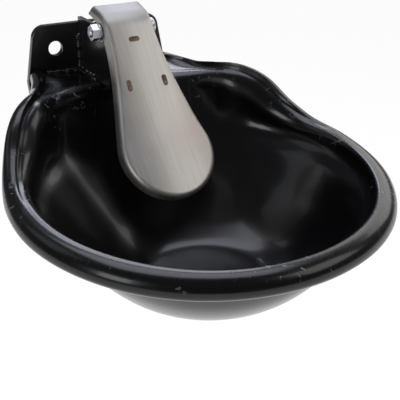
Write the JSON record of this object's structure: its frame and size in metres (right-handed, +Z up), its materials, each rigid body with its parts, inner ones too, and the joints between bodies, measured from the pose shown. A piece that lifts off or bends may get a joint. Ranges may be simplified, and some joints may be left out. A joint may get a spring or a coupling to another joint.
{
  "type": "livestock drinking bowl",
  "caption": "Round steel drinking bowl with a rolled saddle rim, welded to a wall plate, with a stainless push tongue that opens a spring-closed brass water valve.",
  "frame": {"origin": "centre of the four fixing holes, on the rear face of the wall plate", "axes": "+Z up the wall, +Y into the wall, the bowl reaches out along -Y, +X to the right seen from the front"},
  "size_m": [0.248, 0.284, 0.1614],
  "materials": {
    "black_enamel": "gloss enamel",
    "black_plate": "gloss paint",
    "weld_bead": "painted weld",
    "stainless": "brushed",
    "weld_mark": "heat-marked weld",
    "nylon": "satin",
    "zinc": "zinc plated",
    "brass": "turned",
    "stem_steel": "turned",
    "rubber": "moulded",
    "spring_steel": "drawn wire",
    "white_plastic": "translucent moulded",
    "blue_rubber": "moulded"
  },
  "bodies": {
    "frame": {"bowl_shell": "black_enamel", "back_plate": "black_plate", "left_cheek": "black_plate", "right_cheek": "black_plate", "valve_web": "black_plate", "left_weld": "weld_bead", "right_weld": "weld_bead", "under_weld": "weld_bead", "left_bush": "nylon", "right_bush": "nylon", "valve_body": "brass", "valve_nut": "brass", "seat_bush": "brass", "stem_guide": "nylon", "inlet_strainer": "spring_steel", "blanking_plug": "white_plastic", "plug_seal": "blue_rubber", "valve_spring": "spring_steel"},
    "pivot": {"pivot_bolt": "zinc", "pivot_washer": "zinc", "pivot_nut": "zinc"},
    "tongue_body": {"tongue": "stainless", "striker_bracket": "stainless", "plug_welds": "weld_mark"},
    "stem_body": {"valve_stem": "stem_steel", "stem_seal": "rubber"}
  },
  "joints": [
    {"name": "tongue_press", "type": "hinge", "parent": "frame", "child": "pivot", "pos_m": [0, -0.053, 0.076], "axis": [1, 0, 0], "range_deg": [0, 6]},
    {"name": "tongue_lift", "type": "hinge", "parent": "pivot", "child": "tongue_body", "pos_m": [0, -0.053, 0.076], "axis": [-1, 0, 0], "range_deg": [0, 35]},
    {"name": "stem_slide", "type": "slide", "parent": "frame", "child": "stem_body", "axis": [0, 1, 0], "range_m": [0, 0.003], "stiffness_N_per_m": 2000, "springref_m": -0.006, "deforming": ["valve_spring"]}
  ],
  "couplings": [
    {"joint": "stem_slide", "follows": "tongue_press", "m_per_rad": 0.026}
  ]
}
